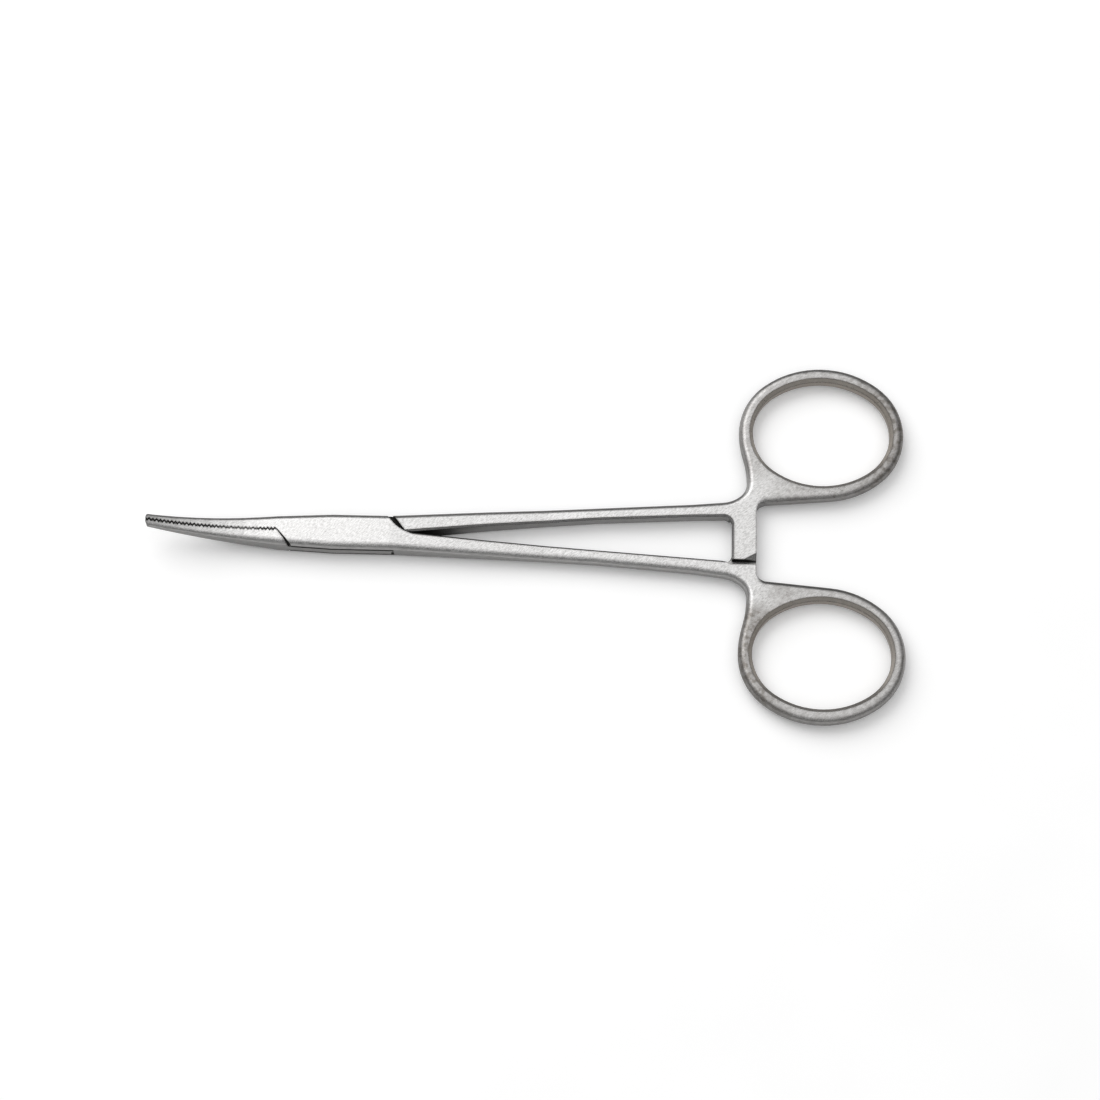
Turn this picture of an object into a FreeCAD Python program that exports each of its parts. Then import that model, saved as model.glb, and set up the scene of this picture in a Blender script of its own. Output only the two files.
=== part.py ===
import FreeCAD, Part
import math
import os

# Curved mosquito-pattern haemostatic forceps with a box lock, 125 mm long, in satin stainless steel.
# Three pieces: a slotted half, a tongue half that passes through its slot, and a flush rivet.
# Frame: Z up, origin on the rivet's axis at the underside of the box lock, X towards the finger
# rings, +Y towards the tongue half's ring. The forceps lie closed on their side.

# Thickness, across the flat of the instrument
box_thickness = 4.2
handle_thickness = 2.6
slot_wall = 1.2

# Box lock, seen from above
box_half_width = 3.0
box_front_length = 1.5
box_edge_radius = 1.1
box_rear_length = 8.0
lock_radius = 9.05
lock_clearance = 0.05
tongue_clearance = 0.04
front_seam_length = 10.6
front_seam_run = 2.5
front_seam_gap = 0.22
rear_seam_length = 11.0
rear_seam_run = 3.5
rear_seam_bow = 0.45
rear_seam_gap = 0.95
rear_seam_inner_gap = 0.25
box_blend_length = 13.5
box_blend_half_width = 2.65

# Rivet
rivet_radius = 1.25
rivet_clearance = 0.04
rivet_head_radius = 1.5
rivet_head_depth = 0.3

# Jaws, which curve up out of the plane of the finger rings
jaw_length = 31.9
jaw_root_half_width = 2.52
jaw_tip_half_width = 1.0
jaw_side_hollow = 0.13
jaw_tip_thickness = 1.5
jaw_bend_start = 13.5
jaw_stations = 8
jaw_bend_radius = 50.0
jaw_tip_edge_radius = 0.6
jaw_tip_corner = 0.75
jaw_tip_flare = 0.3
jaw_gap = 0.09
tooth_pitch = 0.6
tooth_depth = 0.3

# Shanks: at five stations from where they part to the ratchet, the distance of each centre line
# from the closing line, and the width
shank_length = 63.0
station_shares = (0.0, 0.25, 0.6, 0.905, 1.0)
slotted_offsets = (1.55, 2.31, 3.3, 4.4, 4.88)
tongue_offsets = (1.67, 2.86, 4.27, 5.25, 5.57)
shank_widths = (3.1, 2.62, 2.2, 2.35, 2.65)
handle_edge_radius = 1.1
shank_inner_bevel = 0.3
station_blend = 0.7
taper_length = 26.0

# Finger rings
ring_distance = 16.2
ring_offset = 19.4
ring_hole_length = 22.8
ring_hole_width = 18.6
ring_end_band = 2.3
ring_side_band = 2.45
ring_inner_bevel = 0.6
neck_depth = 3.85
neck_rise = 3.5
crotch_slope = 0.09
crotch_corner = 0.5

# Ratchet arms
arm_inner_corner = 1.45
arm_outer_corner = 1.3
arm_width = 4.0
arm_reach = 3.3
arm_end_gap = 0.85
arm_gap = 0.1
arm_facet_length = 2.1
arm_facet_width = 1.2
arm_facet_depth = 0.9
ratchet_pitch = 1.1
ratchet_depth = 0.4
ratchet_teeth = 4
ratchet_end_land = 0.4

# How far the tools that cut right through stand out, how little an arc may bend before it is drawn
# as a line, how steep an edge of the flat faces may be, and how near a point counts as touching
tool_reach = 60.0
straight_enough = 0.0001
level_enough = 0.7
touch = 0.01

mid_z = box_thickness / 2
box_end_x = box_rear_length
shank_end_x = shank_length
arm_left_x = shank_end_x + arm_inner_corner
arm_right_x = arm_left_x + arm_width
ring_x = shank_end_x + ring_distance
ring_outer_a = ring_hole_length / 2 + ring_end_band
ring_outer_b = ring_hole_width / 2 + ring_side_band


def vec(x, y, z=0.0):
    return FreeCAD.Vector(x, y, z)


def line(start, end):
    return Part.LineSegment(start, end).toShape()


def open_path(points):
    return [line(a, b) for a, b in zip(points, points[1:])]


def tangent_arc(start, way, end):
    """An arc that leaves its start in a given direction, or a line where that points at the end."""
    chord = end - start
    along = vec(chord.x, chord.y, chord.z).normalize()
    off = way - along * way.dot(along)
    if off.Length < straight_enough:
        return line(start, end)
    bulge = chord.Length / 2 * math.tan(math.acos(way.dot(along)) / 2)
    return Part.Arc(start, (start + end) * 0.5 + off.normalize() * bulge, end).toShape()


def blend(start, start_way, end, end_way):
    """Two arcs that meet smoothly and keep the directions at both ends."""
    chord = end - start
    ways = start_way + end_way
    turn = 2 * (1 - start_way.dot(end_way))
    lead = chord.dot(ways)
    if turn < straight_enough:
        reach = chord.dot(chord) / (2 * lead)
    else:
        reach = (math.sqrt(lead ** 2 + turn * chord.dot(chord)) - lead) / turn
    meet = (start + start_way * reach + end - end_way * reach) * 0.5
    return [tangent_arc(start, start_way, meet), tangent_arc(end, end_way * -1, meet)]


def end_ways(points):
    """The directions of the first and the last stretch of a chain of points."""
    return (points[1] - points[0]).normalize(), (points[-1] - points[-2]).normalize()


def rounded_path(points, reach):
    """Straight stretches through the points, with a short arc at each point between the ends."""
    edges = []
    start = points[0]
    for corner, following in zip(points[1:], points[2:]):
        before = (corner - start).normalize()
        after = (following - corner).normalize()
        arc_end = corner + after * reach
        edges.append(line(start, corner - before * reach))
        edges.append(tangent_arc(corner - before * reach, before, arc_end))
        start = arc_end
    edges.append(line(start, points[-1]))
    return edges


def outline_face(edges):
    return Part.Face(Part.Wire(Part.__sortEdges__(edges)))


def prism(edges, low=-tool_reach, high=tool_reach):
    """A straight-sided solid on a closed outline seen from above."""
    face = outline_face(edges)
    face.translate(vec(0, 0, low))
    return face.extrude(vec(0, 0, high - low))


def side_slab(edges):
    """A wide solid on a closed outline seen from the side, in the XZ plane."""
    face = outline_face(edges)
    face.translate(vec(0, -tool_reach, 0))
    return face.extrude(vec(0, 2 * tool_reach, 0))


def turned_over(shape):
    """The shape after a half turn about the X direction at mid thickness."""
    copy = shape.copy()
    copy.rotate(vec(0, 0, mid_z), vec(1, 0, 0), 180)
    return copy


def level_edges(shape, chosen):
    """The edges that run along the flat of the instrument and whose middle passes a test."""
    found = []
    for edge in shape.Edges:
        middle = (edge.FirstParameter + edge.LastParameter) / 2
        if abs(edge.tangentAt(middle).z) < level_enough and chosen(edge.valueAt(middle)):
            found.append(edge)
    return found


def handle_slab():
    """The side view of the handles: they thin steadily from the box lock, then stay level."""
    end_x = box_end_x + taper_length
    beyond = ring_x + 2 * ring_outer_a
    level = handle_thickness / 2
    edges = [line(vec(box_end_x, 0, 0), vec(box_end_x, 0, box_thickness))]
    for side in (1, -1):
        heights = (mid_z + side * mid_z, mid_z + side * level, mid_z + side * level)
        points = [vec(x, 0, z) for x, z in zip((box_end_x, end_x, beyond), heights)]
        edges += rounded_path(points, station_blend)
    edges.append(line(vec(beyond, 0, mid_z - level), vec(beyond, 0, mid_z + level)))
    return side_slab(edges)


def shank_points(offsets, side):
    """Corners of one edge of a shank from above, led on straight into the box lock: side is 1 for
    the outer edge, -1 for the inner."""
    run = shank_end_x - rear_seam_length
    points = []
    for share, offset, width in zip(station_shares, offsets, shank_widths):
        points.append(vec(rear_seam_length + run * share, offset + side * width / 2))
    first_stretch = points[1] - points[0]
    points[0] = points[0] + first_stretch * ((box_end_x - rear_seam_length) / first_stretch.x)
    return points


def crotch_tangent():
    """Where the ring's outer ellipse takes the slope of the straight run to the ratchet arm."""
    lean = math.atan(crotch_slope * ring_outer_a / ring_outer_b)
    return lean - math.pi / 2


def crotch_y(x):
    """The straight run under the ring, at a distance x along the instrument."""
    angle = crotch_tangent()
    start = vec(ring_x + ring_outer_a * math.cos(angle), ring_offset + ring_outer_b * math.sin(angle))
    return start.y + (x - start.x) * crotch_slope


def outer_form(offsets):
    """Shank and ring with their rounded outer edge, and a plain plate on the inner side."""
    points = shank_points(offsets, 1)
    shank_way = end_ways(points)[1]
    shank_end = points[-1]
    up = vec(0, 1)
    edges = rounded_path(points, station_blend)
    neck = vec(shank_end_x + neck_depth, shank_end.y + neck_rise)
    ring_left = vec(ring_x - ring_outer_a, ring_offset)
    ring_top = vec(ring_x, ring_offset + ring_outer_b)
    ring_right = vec(ring_x + ring_outer_a, ring_offset)
    angle = crotch_tangent()
    ring_end = vec(ring_x + ring_outer_a * math.cos(angle), ring_offset + ring_outer_b * math.sin(angle))
    crotch_way = vec(-1, -crotch_slope).normalize()
    plate_x = arm_right_x + handle_edge_radius
    corner = vec(plate_x + crotch_corner, crotch_y(plate_x + crotch_corner))
    corner_end = vec(plate_x, corner.y - crotch_corner)
    plate_low = -arm_reach - 2 * arm_width
    edges += blend(shank_end, shank_way, neck, up)
    edges += blend(neck, up, ring_left, up)
    edges += blend(ring_left, up, ring_top, vec(1, 0))
    edges += blend(ring_top, vec(1, 0), ring_right, up * -1)
    edges += blend(ring_right, up * -1, ring_end, crotch_way)
    edges.append(line(ring_end, corner))
    edges += blend(corner, crotch_way, corner_end, up * -1)
    edges += open_path([corner_end, vec(plate_x, plate_low), vec(box_end_x, plate_low), points[0]])
    plate = prism(edges).common(handle_slab())

    def on_outer_edge(p):
        inside = p.x > box_end_x + touch and p.y > plate_low + touch
        return inside and (p.x < plate_x + touch or p.y > 0)

    return plate.makeFillet(handle_edge_radius, level_edges(plate, on_outer_edge))


def inner_void(offsets):
    """All on the inner side of one handle: the gap between the shanks and the space round its arm."""
    points = shank_points(offsets, -1)
    edges = rounded_path(points, station_blend)
    corner_end = vec(arm_left_x, points[-1].y - arm_inner_corner)
    edges += blend(points[-1], end_ways(points)[1], corner_end, vec(0, -1))
    crotch_end = vec(arm_right_x + arm_outer_corner, crotch_y(arm_right_x + 2 * arm_outer_corner))
    crotch_start = vec(arm_right_x, crotch_end.y - arm_outer_corner)
    edges += blend(crotch_start, vec(0, 1), crotch_end, vec(1, 0))
    right = ring_x + 2 * ring_outer_a
    edges += open_path([corner_end, vec(arm_left_x, -arm_reach), vec(arm_right_x, -arm_reach), crotch_start])
    around = [crotch_end, vec(right, crotch_end.y), vec(right, -tool_reach)]
    around += [vec(box_end_x - 1, -tool_reach), vec(box_end_x - 1, points[0].y), points[0]]
    return prism(edges + open_path(around))


def ring_hole():
    """The finger hole: an oval of eight arcs."""
    half_length = ring_hole_length / 2
    half_width = ring_hole_width / 2
    ways = [vec(0, 1), vec(-1, 0), vec(0, -1), vec(1, 0)]
    ends = [vec(ring_x + half_length * way.y, ring_offset - half_width * way.x) for way in ways]
    edges = []
    for number in range(len(ends)):
        following = (number + 1) % len(ends)
        edges += blend(ends[number], ways[number], ends[following], ways[following])
    return prism(edges)


def ratchet_notch(number):
    """One notch under the end of the arm: a steep wall that holds, and a slope to ride up."""
    y = -arm_reach + ratchet_end_land + number * ratchet_pitch
    low = mid_z + arm_gap / 2
    points = [vec(0, y, low), vec(0, y, low + ratchet_depth), vec(0, y + ratchet_pitch, low)]
    below = [vec(0, y + ratchet_pitch, low - arm_gap), vec(0, y, low - arm_gap)]
    face = outline_face(open_path(points + below + points[:1]))
    face.translate(vec(arm_left_x - arm_width, 0, 0))
    return face.extrude(vec(3 * arm_width, 0, 0))


def arm_under_cut():
    """The space under the ratchet arm that the other half's arm takes, up to its own shoulder."""
    shoulder_y = arm_reach + arm_end_gap
    start = vec(shank_end_x - arm_inner_corner / 2, shoulder_y - arm_end_gap)
    shoulder = vec(arm_left_x, shoulder_y)
    right = arm_right_x + arm_width
    path = [vec(start.x, -tool_reach), start, shoulder, vec(right, shoulder_y), vec(right, -tool_reach)]
    return prism(open_path(path + path[:1]), -tool_reach, mid_z + arm_gap / 2)


def arm_end_facet():
    """The small slanting facet on the outer corner at the arm's end."""
    top = mid_z + handle_thickness / 2
    corner = vec(arm_right_x, -arm_reach, top)
    along = corner - vec(arm_facet_length, 0, 0)
    across = corner + vec(0, arm_facet_width, 0)
    down = corner - vec(0, 0, arm_facet_depth)
    base = Part.Face(Part.Wire(open_path([along, across, corner, along])))
    sides = []
    for first, second in ((along, across), (across, corner), (corner, along)):
        sides.append(Part.Face(Part.Wire(open_path([first, second, down, first]))))
    return Part.Solid(Part.Shell([base] + sides))


def inner_limit(offsets, x):
    """The middle of the shank at a distance x: what lies below it is the inner side."""
    share = (x - rear_seam_length) / (shank_end_x - rear_seam_length)
    for k in range(len(station_shares) - 1):
        if share <= station_shares[k + 1]:
            part = (share - station_shares[k]) / (station_shares[k + 1] - station_shares[k])
            return offsets[k] + part * (offsets[k + 1] - offsets[k])
    return offsets[-1]


def handle(offsets):
    """Shank, ring and ratchet arm of the tongue half. The slotted half's is this, turned over."""
    body = outer_form(offsets).cut(inner_void(offsets))

    def on_inner_edge(p):
        beside_arm = abs(p.x - arm_left_x) < touch
        behind_box = p.x > box_end_x + touch and p.x < arm_left_x + touch
        return behind_box and (p.y < inner_limit(offsets, p.x) or beside_arm)

    def on_ring_hole(p):
        along = (p.x - ring_x) / (ring_outer_a + ring_hole_length / 2)
        across = (p.y - ring_offset) / (ring_outer_b + ring_hole_width / 2)
        return math.hypot(along, across) < 0.5

    body = body.makeChamfer(shank_inner_bevel, level_edges(body, on_inner_edge))
    body = body.cut(ring_hole())
    body = body.makeChamfer(ring_inner_bevel, level_edges(body, on_ring_hole))
    body = body.cut(arm_under_cut()).cut(arm_end_facet())
    for number in range(ratchet_teeth):
        body = body.cut(ratchet_notch(number))
    return body


def rounded_section(x, half_width, low, high, radius):
    """A rounded rectangle across the instrument at a distance x."""
    corners = []
    for quarter in range(4):
        side = -1 if quarter in (0, 3) else 1
        level = low + radius if quarter < 2 else high - radius
        centre = vec(x, side * (half_width - radius), level)
        start = math.pi + quarter * math.pi / 2
        points = []
        for angle in (start, start + math.pi / 4, start + math.pi / 2):
            points.append(centre + vec(0, radius * math.cos(angle), radius * math.sin(angle)))
        corners.append(points)
    edges = []
    for points, following in zip(corners, corners[1:] + corners[:1]):
        edges.append(Part.Arc(*points).toShape())
        edges.append(line(points[2], following[0]))
    return Part.Wire(edges)


def box_form():
    """The box lock and the start of the shanks, with rounded long edges."""
    stations = [(-front_seam_length, jaw_root_half_width), (-box_front_length, box_half_width)]
    stations += [(box_rear_length, box_half_width), (box_blend_length, box_blend_half_width)]
    sections = []
    for x, half_width in stations:
        sections.append(rounded_section(x, half_width, 0, box_thickness, box_edge_radius))
    return Part.makeLoft(sections, True, True).common(handle_slab().fuse(front_of_box()))


def jaw_top(x):
    """Height of the jaws' top face: level, then up along one large arc."""
    bent = max(-jaw_bend_start - x, 0.0)
    return box_thickness + jaw_bend_radius - math.sqrt(jaw_bend_radius ** 2 - bent ** 2)


def jaw_section(share):
    """The outline across the closed jaws, at a share of the way from the box lock to the tip."""
    x = -front_seam_length - share * (jaw_length - front_seam_length)
    half_width = jaw_root_half_width + share * (jaw_tip_half_width - jaw_root_half_width)
    half_width -= jaw_side_hollow * 4 * share * (1 - share)
    high = jaw_top(x)
    low = high - box_thickness - share * (jaw_tip_thickness - box_thickness)
    radius = box_edge_radius + share * (jaw_tip_edge_radius - box_edge_radius)
    return rounded_section(x, half_width, low, high, radius)


def jaw_form():
    """Both jaws closed, as one body through sections that shrink towards the tip."""
    sections = []
    for number in range(jaw_stations + 1):
        sections.append(jaw_section(number / jaw_stations))
    return Part.makeLoft(sections, True, True)


def tip_rounding():
    """A long wedge seen from above whose small end gives the closed jaws their rounded tip."""
    half = jaw_tip_half_width
    corner_x = -jaw_length + jaw_tip_corner
    corner_y = half + jaw_tip_corner * jaw_tip_flare
    flare = 2 * jaw_length * jaw_tip_flare
    edges = [line(vec(-jaw_length, jaw_tip_corner - half), vec(-jaw_length, half - jaw_tip_corner))]
    for side in (1, -1):
        flat_end = vec(-jaw_length, side * (half - jaw_tip_corner))
        corner = vec(corner_x, side * corner_y)
        far = vec(corner_x + 2 * jaw_length, side * (corner_y + flare))
        edges += blend(flat_end, vec(0, side), corner, vec(1, side * jaw_tip_flare).normalize())
        edges.append(line(corner, far))
    edges.append(line(far, vec(far.x, -far.y)))
    return prism(edges)


def front_form():
    """The jaws and box lock in one piece, closed, before they are parted into the two halves."""
    return jaw_form().common(tip_rounding()).fuse(box_form())


def front_of_box():
    """All the space ahead of the shanks."""
    corner = vec(-tool_reach, -tool_reach, -tool_reach)
    return Part.makeBox(tool_reach + box_end_x, 2 * tool_reach, 2 * tool_reach, corner)


def bite_line(shift):
    """The zigzag between the closed jaws, from the box lock to past the tip."""
    points = [vec(-front_seam_length, shift)]
    count = int((jaw_length - front_seam_length) / tooth_pitch) + 2
    for number in range(count):
        x = -front_seam_length - (number + 0.5) * tooth_pitch
        side = 1 if number % 2 == 0 else -1
        points.append(vec(x, shift + side * tooth_depth / 2))
    return points


def near_front_space(shift, back, slope_run):
    """The space on the near side of the bite line, ahead of a slanting seam at the box lock."""
    bite = bite_line(shift)
    bite[0] = vec(-front_seam_length - back, shift)
    out = tool_reach / box_half_width
    seam_end = vec(bite[0].x + slope_run * out, -tool_reach)
    return prism(open_path(bite + [vec(bite[-1].x, -tool_reach), seam_end, bite[0]]))


def far_rear_space():
    """The space of the tongue half's shank, behind the far rear edge of the slotted box."""
    start = vec(rear_seam_length, -lock_clearance)
    outer = vec(rear_seam_length - rear_seam_run, box_half_width)
    way = outer - start
    middle = (start + outer) * 0.5 - vec(way.y, -way.x).normalize() * rear_seam_bow
    wall = Part.Arc(start, middle, outer).toShape()
    beyond = vec(outer.x - box_half_width, 2 * box_half_width)
    rear = box_blend_length + 1
    path = [outer, beyond, vec(rear, beyond.y), vec(rear, -box_half_width / 2), start]
    return prism([wall] + open_path(path))


def far_shoulder_space():
    """The space behind the straight shoulder of the tongue half."""
    inner = vec(rear_seam_length - rear_seam_inner_gap, 0)
    slope = (rear_seam_run - rear_seam_gap - rear_seam_inner_gap) / box_half_width
    low = vec(inner.x + slope * tool_reach, -tool_reach)
    high = vec(inner.x - slope * tool_reach, tool_reach)
    far = 4 * tool_reach
    return prism(open_path([low, high, vec(far, high.y), vec(far, low.y), low]))


def slot_space(clearance, gap, low, high):
    """The disc and the two side channels that the tongue needs to turn in the box."""
    disc = Part.makeCylinder(lock_radius + clearance, high - low, vec(0, 0, low))
    front_length = front_seam_length + lock_clearance + clearance
    front = Part.makeBox(front_length, tool_reach + gap, high - low, vec(-front_length, -tool_reach, low))
    rear_length = rear_seam_length - rear_seam_inner_gap + clearance
    rear = Part.makeBox(rear_length, tool_reach, high - low, vec(0, -gap, low))
    return disc.fuse([front, rear])


def rivet_form():
    """The peened rivet: a shaft with a countersunk flush head at each face."""
    shaft = Part.makeCylinder(rivet_radius, box_thickness)
    top_low = vec(0, 0, box_thickness - rivet_head_depth)
    top_head = Part.makeCone(rivet_radius, rivet_head_radius, rivet_head_depth, top_low)
    low_head = Part.makeCone(rivet_head_radius, rivet_radius, rivet_head_depth)
    return shaft.fuse([top_head, low_head]).removeSplitter()


def slotted_half(front, rivet):
    """Far jaw, box with the slot through it, near shank and ring."""
    body = front.cut(near_front_space(jaw_gap / 2, 0, front_seam_run))
    body = body.cut(far_rear_space())
    body = body.fuse(turned_over(handle(slotted_offsets)))
    slot = slot_space(lock_clearance, jaw_gap / 2, slot_wall, box_thickness - slot_wall)
    return body.cut(slot).cut(rivet).removeSplitter()


def tongue_half(front):
    """Near jaw, tongue through the slot, far shank and ring."""
    jaw = front.common(near_front_space(-jaw_gap / 2, lock_clearance, front_seam_run - front_seam_gap))
    low = slot_wall + tongue_clearance
    tongue = front.common(slot_space(0, -jaw_gap / 2, low, box_thickness - low))
    shank = handle(tongue_offsets).common(far_shoulder_space())
    bore = Part.makeCylinder(rivet_radius + rivet_clearance, box_thickness)
    return tongue.fuse([jaw, shank]).cut(bore).removeSplitter()


os.makedirs("parts", exist_ok=True)
closed_front = front_form()
pin = rivet_form()
slotted_half(closed_front, pin).exportStep("parts/slotted_half.step")
tongue_half(closed_front).exportStep("parts/tongue_half.step")
pin.exportStep("parts/pivot_pin.step")
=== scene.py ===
import math

import bpy
from mathutils import Matrix, Vector

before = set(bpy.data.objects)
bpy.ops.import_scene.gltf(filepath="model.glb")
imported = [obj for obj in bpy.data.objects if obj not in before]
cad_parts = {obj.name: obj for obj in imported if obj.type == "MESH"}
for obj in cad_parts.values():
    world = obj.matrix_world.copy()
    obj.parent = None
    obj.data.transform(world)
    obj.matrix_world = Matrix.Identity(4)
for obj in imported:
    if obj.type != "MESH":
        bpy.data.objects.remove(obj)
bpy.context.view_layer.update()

bpy.ops.object.select_all(action="DESELECT")


# Slotted half: the far jaw, the box of the lock, the near shank, its ratchet arm and its finger ring.
# It is one forging of hardened stainless steel, milled and then satin finished on a belt, which leaves
# slanting lines on the flats. The flanks are brushed along the instrument and are a little rougher,
# and painted shade darkens them.
class Value:
    """A socket that can be added to, multiplied and so on, like a number."""

    def __init__(self, surface, socket):
        self.surface = surface
        self.socket = socket

    def combined(self, operation, first, second=0.0):
        return self.surface.add("ShaderNodeMath", {"operation": operation}, {0: first, 1: second})

    def __add__(self, other):
        return self.combined("ADD", self, other)

    def __sub__(self, other):
        return self.combined("SUBTRACT", self, other)

    def __mul__(self, other):
        return self.combined("MULTIPLY", self, other)

    def __truediv__(self, other):
        return self.combined("DIVIDE", self, other)

    def __radd__(self, other):
        return self.combined("ADD", other, self)

    def __rsub__(self, other):
        return self.combined("SUBTRACT", other, self)

    def __rmul__(self, other):
        return self.combined("MULTIPLY", other, self)

    def __abs__(self):
        return self.combined("ABSOLUTE", self)

    def most(self, other):
        """The larger of two values."""
        return self.combined("MAXIMUM", self, other)

    def folded(self, height):
        """A zigzag that climbs to the height and comes back to 0, over and over."""
        return self.combined("PINGPONG", self, height)


class Surface:
    """The nodes of a material, or of the room around the forceps."""

    def __init__(self, owner):
        owner.use_nodes = True
        self.tree = owner.node_tree
        self.tree.nodes.clear()

    def add(self, kind, settings=None, inputs=None, output=0):
        """Adds a node: its settings first, then the values or links of its sockets."""
        node = self.tree.nodes.new(kind)
        for name, value in (settings or {}).items():
            if name == "stops":
                self.set_stops(node.color_ramp, value)
            else:
                setattr(node, name, value)
        for name, value in (inputs or {}).items():
            if isinstance(value, Value):
                self.tree.links.new(value.socket, node.inputs[name])
            else:
                node.inputs[name].default_value = value
        return Value(self, node.outputs[output]) if len(node.outputs) else None

    def set_stops(self, ramp, stops):
        """Gives a ramp its stops, each a position and a colour."""
        while len(ramp.elements) > 1:
            ramp.elements.remove(ramp.elements[0])
        ramp.elements[0].position = stops[0][0]
        ramp.elements[0].color = stops[0][1]
        for position, colour in stops[1:]:
            ramp.elements.new(position).color = colour

    def axis(self, vector, letter):
        return self.add("ShaderNodeSeparateXYZ", {}, {"Vector": vector}, letter)

    def noise(self, place, scale, detail):
        inputs = {"Vector": place, "Scale": scale, "Detail": detail, "Roughness": 0.55}
        return self.add("ShaderNodeTexNoise", {"noise_dimensions": "3D"}, inputs)

    def between(self, value, start, end):
        """0 at the start, 1 at the end and a smooth step between. The end may be the lower one."""
        inputs = {"Value": value, "From Min": start, "From Max": end}
        return self.add("ShaderNodeMapRange", {"interpolation_type": "SMOOTHSTEP"}, inputs)

    def mixed(self, share, first, second):
        """One colour turning into another as share goes from 0 to 1."""
        first_socket = 6
        second_socket = 7
        mixed_socket = 2
        inputs = {"Factor": share, first_socket: first, second_socket: second}
        return self.add("ShaderNodeMix", {"data_type": "RGBA"}, inputs, mixed_socket)

    def turned(self, place, angle, stretch):
        """The place turned about Z and then stretched, for lines that run one way."""
        turned = self.add("ShaderNodeMapping", {}, {"Vector": place, "Rotation": (0, 0, angle)})
        return self.add("ShaderNodeMapping", {}, {"Vector": turned, "Scale": stretch})


class Steel(Surface):
    """Steel with what its marks follow: the place in mm from the rivet, and the way a face looks."""

    def __init__(self, owner, pattern_offset):
        super().__init__(owner)
        metres = self.add("ShaderNodeTexCoord", output="Object")
        place = self.add("ShaderNodeVectorMath", {"operation": "SCALE"}, {0: metres, "Scale": 1000.0})
        shift = {0: place, 1: pattern_offset}
        self.pattern = self.add("ShaderNodeVectorMath", {"operation": "ADD"}, shift)
        self.x, self.y, self.z = [self.axis(place, letter) for letter in "XYZ"]
        self.side = abs(self.y)
        self.normal = self.add("ShaderNodeNewGeometry", output="Normal")
        self.level = abs(self.axis(self.normal, "Z"))
        self.flat = self.between(self.level, 0.80, 0.97)
        self.wall = self.between(self.level, 0.55, 0.15)


def belt_grain(steel):
    """Slanting belt lines on the flats, and lengthwise brushing on the flanks."""
    belt_angle = math.radians(-38)
    lengthwise = 0.0
    lines = steel.noise(steel.turned(steel.pattern, belt_angle, (1.8, 7.5, 5.5)), 1.0, 1.0)
    brushing = steel.noise(steel.turned(steel.pattern, lengthwise, (1.0, 7.0, 7.0)), 1.0, 2.0)
    return steel.flat * lines + (1 - steel.flat) * brushing


def scratches(steel, clouds):
    """Thin curved scratches, in the patches where the clouds are pale."""
    scratch_angle = 0.5
    path = steel.noise(steel.turned(steel.pattern, scratch_angle, (0.5, 1.6, 1.0)), 1.0, 1.0)
    return steel.between(abs(path - 0.5), 0.012, 0.004) * steel.between(clouds, 0.50, 0.60)


def sharp_edges(steel):
    """Where one face meets another at an angle, apart from the stretch over the rivet. These edges get
    painted shade.
    """
    edge_radius = 0.0004
    clear_of_rivet = (2.2, 2.6)
    softened = steel.add("ShaderNodeBevel", {"samples": 4}, {"Radius": edge_radius})
    pair = {0: steel.normal, 1: softened}
    turning = steel.add("ShaderNodeVectorMath", {"operation": "DOT_PRODUCT"}, pair, "Value")
    return steel.between(turning, 0.985, 0.90) * steel.between(abs(steel.x), *clear_of_rivet)


def far_edges(steel):
    """The rounded edges that look towards the far side, which get painted shade."""
    own_normal = steel.add("ShaderNodeTexCoord", output="Normal")
    to_far_side = steel.axis(own_normal, "Y")
    return steel.between(to_far_side, 0.25, 0.6) * steel.between(steel.level, 0.05, 0.25)


def tooth_line(steel):
    """The zigzag between the two rows of teeth, fainter along the stretch that is worn."""
    jaw_root = -10.9
    bite_y = 0.20
    half_period = 0.3
    tooth_slope = 1.33
    wave = (steel.x - jaw_root).folded(half_period)
    off_line = abs(steel.y - bite_y + tooth_slope * wave)
    on_jaws = steel.between(steel.x, -10.5, jaw_root)
    worn = steel.between(steel.x, -22.0, -18.0) * steel.between(steel.x, -12.5, -14.5)
    return steel.between(off_line, 0.24, 0.14) * on_jaws * (1 - 0.4 * worn)


def front_seam(steel):
    """The slanting seam on the top face, where the near jaw leaves the box."""
    seam_x = -10.55
    slant = 0.85
    half_width = 0.08
    widening = 0.05
    off_seam = abs(steel.x - seam_x + slant * steel.y)
    inside = half_width - widening * steel.y - off_seam
    near_side = steel.between(steel.y, 0.05, -0.1)
    on_top = steel.between(steel.z, 2.7, 2.9)
    return steel.between(inside, 0.0, half_width) * near_side * on_top


def slot_lines(steel):
    """The gaps above and below the tongue on both sides of the box, and the notch behind them."""
    upper_z = 3.0
    lower_z = 1.2
    notch_x = 8.5
    notch_z = 1.7
    on_flank = steel.between(steel.side, 2.3, 2.6)
    along_slot = steel.between(steel.x, 8.8, 8.6) * steel.between(steel.x, -8.4, -8.1)
    upper_gap = steel.between(abs(steel.z - upper_z), 0.30, 0.18)
    lower_gap = steel.between(abs(steel.z - lower_z), 0.17, 0.06)
    notch_length = steel.between(abs(steel.x - notch_x), 0.30, 0.15)
    notch_height = steel.between(abs(steel.z - notch_z), 0.55, 0.35)
    lines = upper_gap.most(lower_gap) * along_slot
    return lines.most(notch_length * notch_height) * on_flank


def throat(steel):
    """The walls between the shanks, just behind the box, which get painted shade."""
    behind_box = steel.between(steel.x, 7.3, 7.7) * steel.between(steel.x, 20.0, 14.0)
    return steel.wall * behind_box * steel.between(steel.side, 2.75, 2.3)


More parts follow.
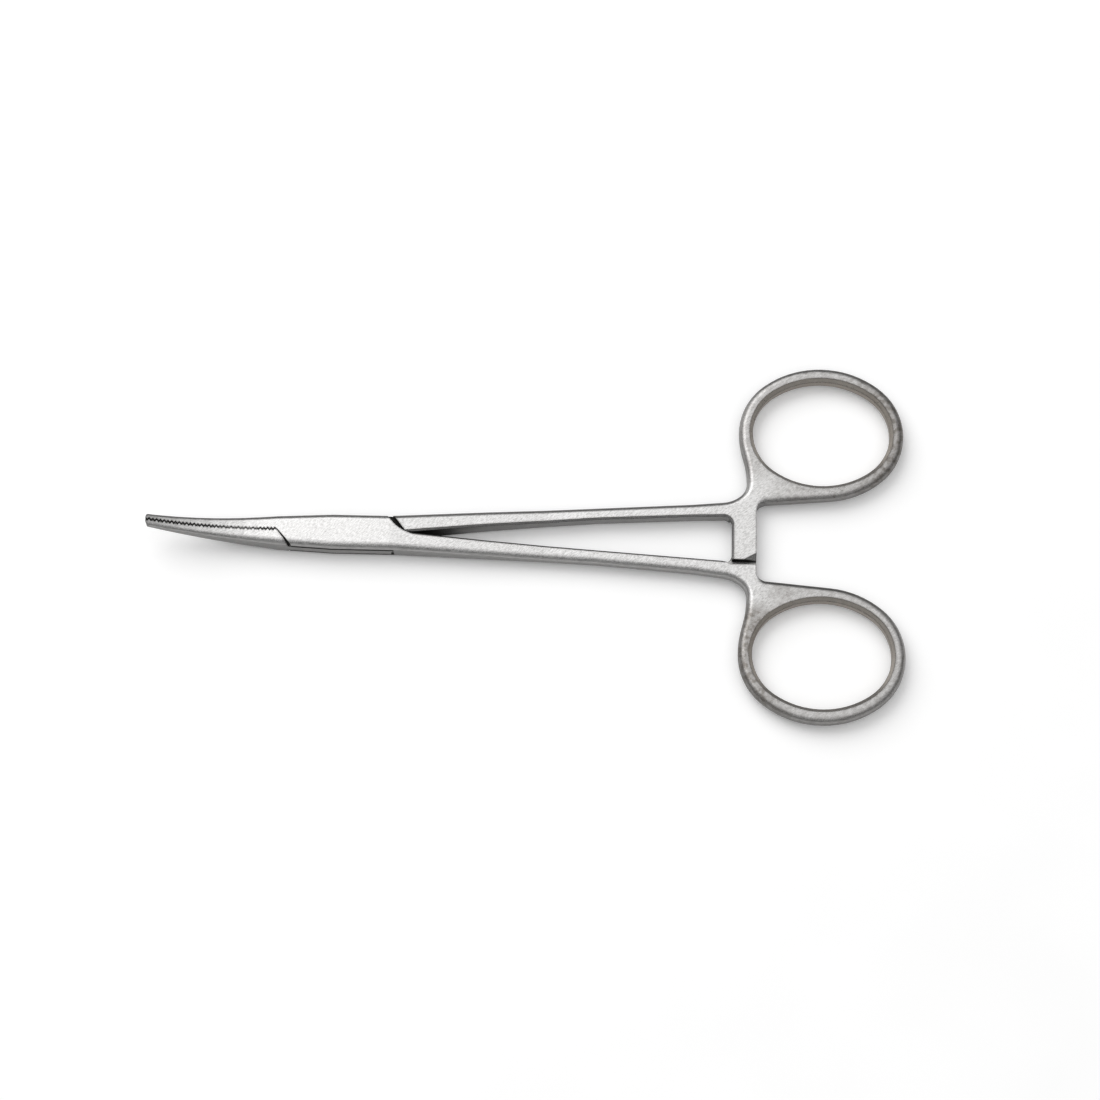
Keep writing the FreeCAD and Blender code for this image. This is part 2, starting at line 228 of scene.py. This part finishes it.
def unpolished_faces(steel):
    """The level faces inside the slot, which the belt can't reach."""
    mid_plane = 2.1
    in_slot = steel.between(abs(steel.z - mid_plane), 0.93, 0.87)
    along_box = steel.between(steel.x, 13.0, 12.5) * steel.between(steel.x, -10.9, -10.5)
    return in_slot * along_box * steel.flat


def painted_gap_shade(steel, unpolished):
    """Painted shade in the teeth, the seams, the slot, the throat, any other narrow gap, and wherever
    another surface is close by.
    """
    reach = 0.0022
    open_space = steel.add("ShaderNodeAmbientOcclusion", {"samples": 8}, {"Distance": reach}, "AO")
    outer_skin = steel.between(steel.level, 0.15, 0.35)
    gap_shade = outer_skin * tooth_line(steel).most(front_seam(steel))
    gap_shade = gap_shade.most(slot_lines(steel)).most(throat(steel))
    gap_shade = gap_shade.most(unpolished * steel.between(open_space, 0.90, 0.45))
    return (0.96 * gap_shade).most(0.95 * steel.between(open_space, 0.70, 0.15))


def ring_hole(steel):
    """The wall of the finger hole and its rim, which get a painted warm reflection and painted shade.
    """
    centre_x = 79.2
    centre_side = 19.4
    half_length = 11.4
    half_width = 9.3
    along = (steel.x - centre_x) / half_length
    across = (steel.side - centre_side) / half_width
    return steel.between(along * along + across * across, 1.17, 1.12) * (1 - steel.flat)


def arm_walls(steel):
    """The upright walls of the ratchet arms, which get painted shade."""
    arm_x = 64.7
    across_arm = steel.between(abs(steel.x - arm_x), 0.9, 0.6)
    return steel.wall * across_arm * steel.between(steel.side, 4.5, 3.5)


def satin_steel(name, pattern_offset, shade_from, shade_to):
    """Satin steel. The offset moves its pattern, and painted shade darkens its ring from one x to
    another.

    The light and dark of the finish come first, then painted shade on roundings, walls, edges and
    the ring, and a painted reflection in the finger hole, then the marks of use, and last painted
    shade in the gaps.
    """
    material = bpy.data.materials.new(name)
    steel = Steel(material, pattern_offset)
    grain = belt_grain(steel)
    speckle = steel.noise(steel.pattern, 6.0, 2.0)
    clouds = steel.noise(steel.pattern, 0.35, 3.0)
    mottling = steel.between(steel.noise(steel.pattern, 0.9, 3.0), 0.42, 0.62)
    pits = steel.between(steel.noise(steel.pattern, 2.2, 2.0), 0.64, 0.74)
    scratched = scratches(steel, clouds)
    # Painted shade: the roundings, and a band where the flats turn into them, are painted darker.
    rounding = steel.between(steel.level, 0.90, 0.55)
    border = steel.between(steel.level, 0.97, 0.90) * steel.between(steel.level, 0.62, 0.80)
    inner_end = steel.between(steel.x, 60.0, 62.0) * steel.between(steel.side, 9.5, 13.0)
    on_ring = steel.between(steel.x, 68.0, 74.0).most(inner_end)
    # Painted shade: the ring is painted darker in mottled patches, more so from shade_from to shade_to.
    ring_shade = on_ring * (0.40 + 0.50 * steel.between(steel.x, shade_from, shade_to))
    unpolished = unpolished_faces(steel)
    gap_shade = painted_gap_shade(steel, unpolished)

    bright = (0.65, 0.645, 0.64, 1)
    grey = (0.36, 0.355, 0.35, 1)
    flank_shade_grey = (0.20, 0.195, 0.19, 1)
    border_shade_grey = (0.08, 0.078, 0.075, 1)
    ring_shade_brown = (0.155, 0.14, 0.125, 1)
    wall_shade_grey = (0.09, 0.088, 0.085, 1)
    shaded_grey = (0.05, 0.048, 0.046, 1)
    edge_shade_grey = (0.04, 0.038, 0.036, 1)
    raw_grey = (0.16, 0.155, 0.15, 1)
    pit_grey = (0.22, 0.205, 0.19, 1)
    scratch_brown = (0.10, 0.09, 0.08, 1)
    shade_black = (0.012, 0.011, 0.010, 1)
    # Painted warm reflection in the finger hole, painted darker where its wall stands upright.
    hole_reflection_tan = steel.mixed(steel.wall, (0.60, 0.55, 0.49, 1), (0.36, 0.315, 0.27, 1))
    layers = [
        (0.33 * rounding, flank_shade_grey),
        (0.55 * border * steel.between(speckle, 0.42, 0.58), border_shade_grey),
        (ring_shade * (0.6 + 0.4 * mottling), ring_shade_brown),
        # Painted shade on the upright walls.
        (0.5 * steel.wall, wall_shade_grey),
        (0.6 * arm_walls(steel), shaded_grey),
        ((0.45 + 0.4 * grain) * ring_hole(steel), hole_reflection_tan),
        (0.7 * far_edges(steel), shaded_grey),
        (0.85 * sharp_edges(steel), edge_shade_grey),
        (0.5 * unpolished, raw_grey),
        (0.35 * pits, pit_grey),
        (0.5 * scratched * on_ring, scratch_brown),
        # Painted shade in the gaps and wherever another surface is close by.
        (gap_shade, shade_black),
    ]
    shade = 0.65 * grain + 0.3 * speckle + 0.05 * clouds
    colour = steel.mixed(steel.between(shade, 0.25, 0.66), grey, bright)
    for share, tint in layers:
        colour = steel.mixed(share, colour, tint)

    roughness = 0.30 + 0.14 * grain + 0.1 * clouds + 0.08 * (1 - steel.flat) + 0.3 * gap_shade
    relief = 0.6 * grain + 0.4 * speckle - 0.6 * pits - 0.5 * scratched
    bump_inputs = {"Strength": 0.30, "Distance": 0.00006, "Height": relief}
    bump = steel.add("ShaderNodeBump", {}, bump_inputs)
    shader_inputs = {"Base Color": colour, "Metallic": 1.0, "Roughness": roughness, "Normal": bump}
    shader = steel.add("ShaderNodeBsdfPrincipled", {}, shader_inputs)
    steel.add("ShaderNodeOutputMaterial", {}, {"Surface": shader})
    return material


def dress(piece, steel):
    """Gives a piece its steel and nothing else."""
    piece.data.materials.clear()
    piece.data.materials.append(steel)


# Painted shade darkens this half's ring towards its inner end.
slotted_steel = satin_steel("satin_steel_slotted", (0, 0, 0), shade_from=76.0, shade_to=67.0)
dress(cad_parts["slotted_half"], slotted_steel)


# Tongue half: the near jaw, the tongue that is threaded through the box, the far shank, its ratchet arm
# and its finger ring. It is forged and finished as the other half, from the same steel. Painted shade
# darkens its ring towards the outer end.
tongue_steel = satin_steel("satin_steel_tongue", (30, 70, 10), shade_from=82.0, shade_to=90.0)
dress(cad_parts["tongue_half"], tongue_steel)


# Rivet: a pin of the same steel through the box and the tongue. It is hammered into a countersink at
# each face and belted flush with the box, so that it hardly shows.
rivet_steel = satin_steel("satin_steel_rivet", (0, 0, 0), shade_from=82.0, shade_to=90.0)
dress(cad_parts["pivot_pin"], rivet_steel)


# The sheet that the forceps lie on: smooth white paper, large enough to have no edge in any view.
# A faint glow that only the camera and the steel's reflections see brings it up to white.
sheet_width = 6
bpy.ops.mesh.primitive_plane_add(size=sheet_width, location=(0, 0, 0))
table = bpy.context.object
table.name = "table"
white_sheet = bpy.data.materials.new("white_sheet")
paper = Surface(white_sheet)
paper_place = paper.add("ShaderNodeTexCoord", output="Object")
paper_tone = paper.between(paper.noise(paper_place, 40, 2.0), 0.3, 0.7)
paper_colour = paper.mixed(paper_tone, (0.97, 0.97, 0.97, 1), (0.985, 0.985, 0.985, 1))
paper_diffuse = paper.add("ShaderNodeBsdfDiffuse", {}, {"Color": paper_colour})
in_camera = paper.add("ShaderNodeLightPath", output="Is Camera Ray")
in_steel = paper.add("ShaderNodeLightPath", output="Is Glossy Ray")
no_glow = (0, 0, 0, 1)
paper_glow = (0.125, 0.125, 0.125, 1)
glow_colour = paper.mixed(in_camera.most(in_steel), no_glow, paper_glow)
glow = paper.add("ShaderNodeEmission", {}, {"Color": glow_colour, "Strength": 1.0})
paper_shader = paper.add("ShaderNodeAddShader", {}, {0: paper_diffuse, 1: glow})
paper.add("ShaderNodeOutputMaterial", {}, {"Surface": paper_shader})
table.data.materials.append(white_sheet)


# Studio light: a pale room, brightest overhead and dim around the table, and a round soft box above the
# far side on the left, so that the soft shadow falls to the near side.
room = bpy.data.worlds.new("studio")
bpy.context.scene.world = room
sky = Surface(room)
height = sky.axis(sky.add("ShaderNodeTexCoord", output="Generated"), "Z")
sky_stops = [
    (0.2, (0.07, 0.07, 0.07, 1)),
    (0.6, (0.36, 0.36, 0.36, 1)),
    (0.92, (1.08, 1.08, 1.08, 1)),
]
sky_colour = sky.add("ShaderNodeValToRGB", {"stops": sky_stops}, {0: height})
sky_light = sky.add("ShaderNodeBackground", {}, {"Color": sky_colour, "Strength": 1.0})
sky.add("ShaderNodeOutputWorld", {}, {"Surface": sky_light})

to_light = Vector((-0.43, 0.53, 0.74)).normalized()
light_distance = 1.2
bpy.ops.object.light_add(type="AREA", location=to_light * light_distance)
soft_box = bpy.context.object
soft_box.name = "soft_box"
soft_box.data.shape = "DISK"
soft_box.data.size = 1.2
soft_box.data.energy = 8.0
soft_box.rotation_euler = to_light.to_track_quat("Z", "Y").to_euler()


# Camera: above the instrument and a little in front of it, as in the photograph. It looks at a point on
# the mid plane of the shanks, and its lens gives the photograph's scale at that point.
camera_data = bpy.data.cameras.new("camera")
camera = bpy.data.objects.new("camera", camera_data)
bpy.context.scene.collection.objects.link(camera)
tilt = math.radians(20.0)
swing = math.radians(1.31476)
target = Vector((0.0344606, -0.0019458, 0.0021))
distance = 0.6
pixels_per_mm = 6.06258
photo_width = 1100
overhead = Vector((0, 0, 1))
right = Vector((math.cos(swing), math.sin(swing), 0))
ahead = Vector((-math.sin(swing), math.cos(swing), 0))
up = ahead * math.cos(tilt) + overhead * math.sin(tilt)
back = overhead * math.cos(tilt) - ahead * math.sin(tilt)
eye = target + back * distance
camera.matrix_world = Matrix((
    (right.x, up.x, back.x, eye.x),
    (right.y, up.y, back.y, eye.y),
    (right.z, up.z, back.z, eye.z),
    (0, 0, 0, 1),
))
camera_data.sensor_width = 36
camera_data.lens = pixels_per_mm * (1000 * distance) / photo_width * camera_data.sensor_width
camera_data.clip_start = 0.01
bpy.context.scene.camera = camera
bpy.context.scene.view_settings.view_transform = "Standard"
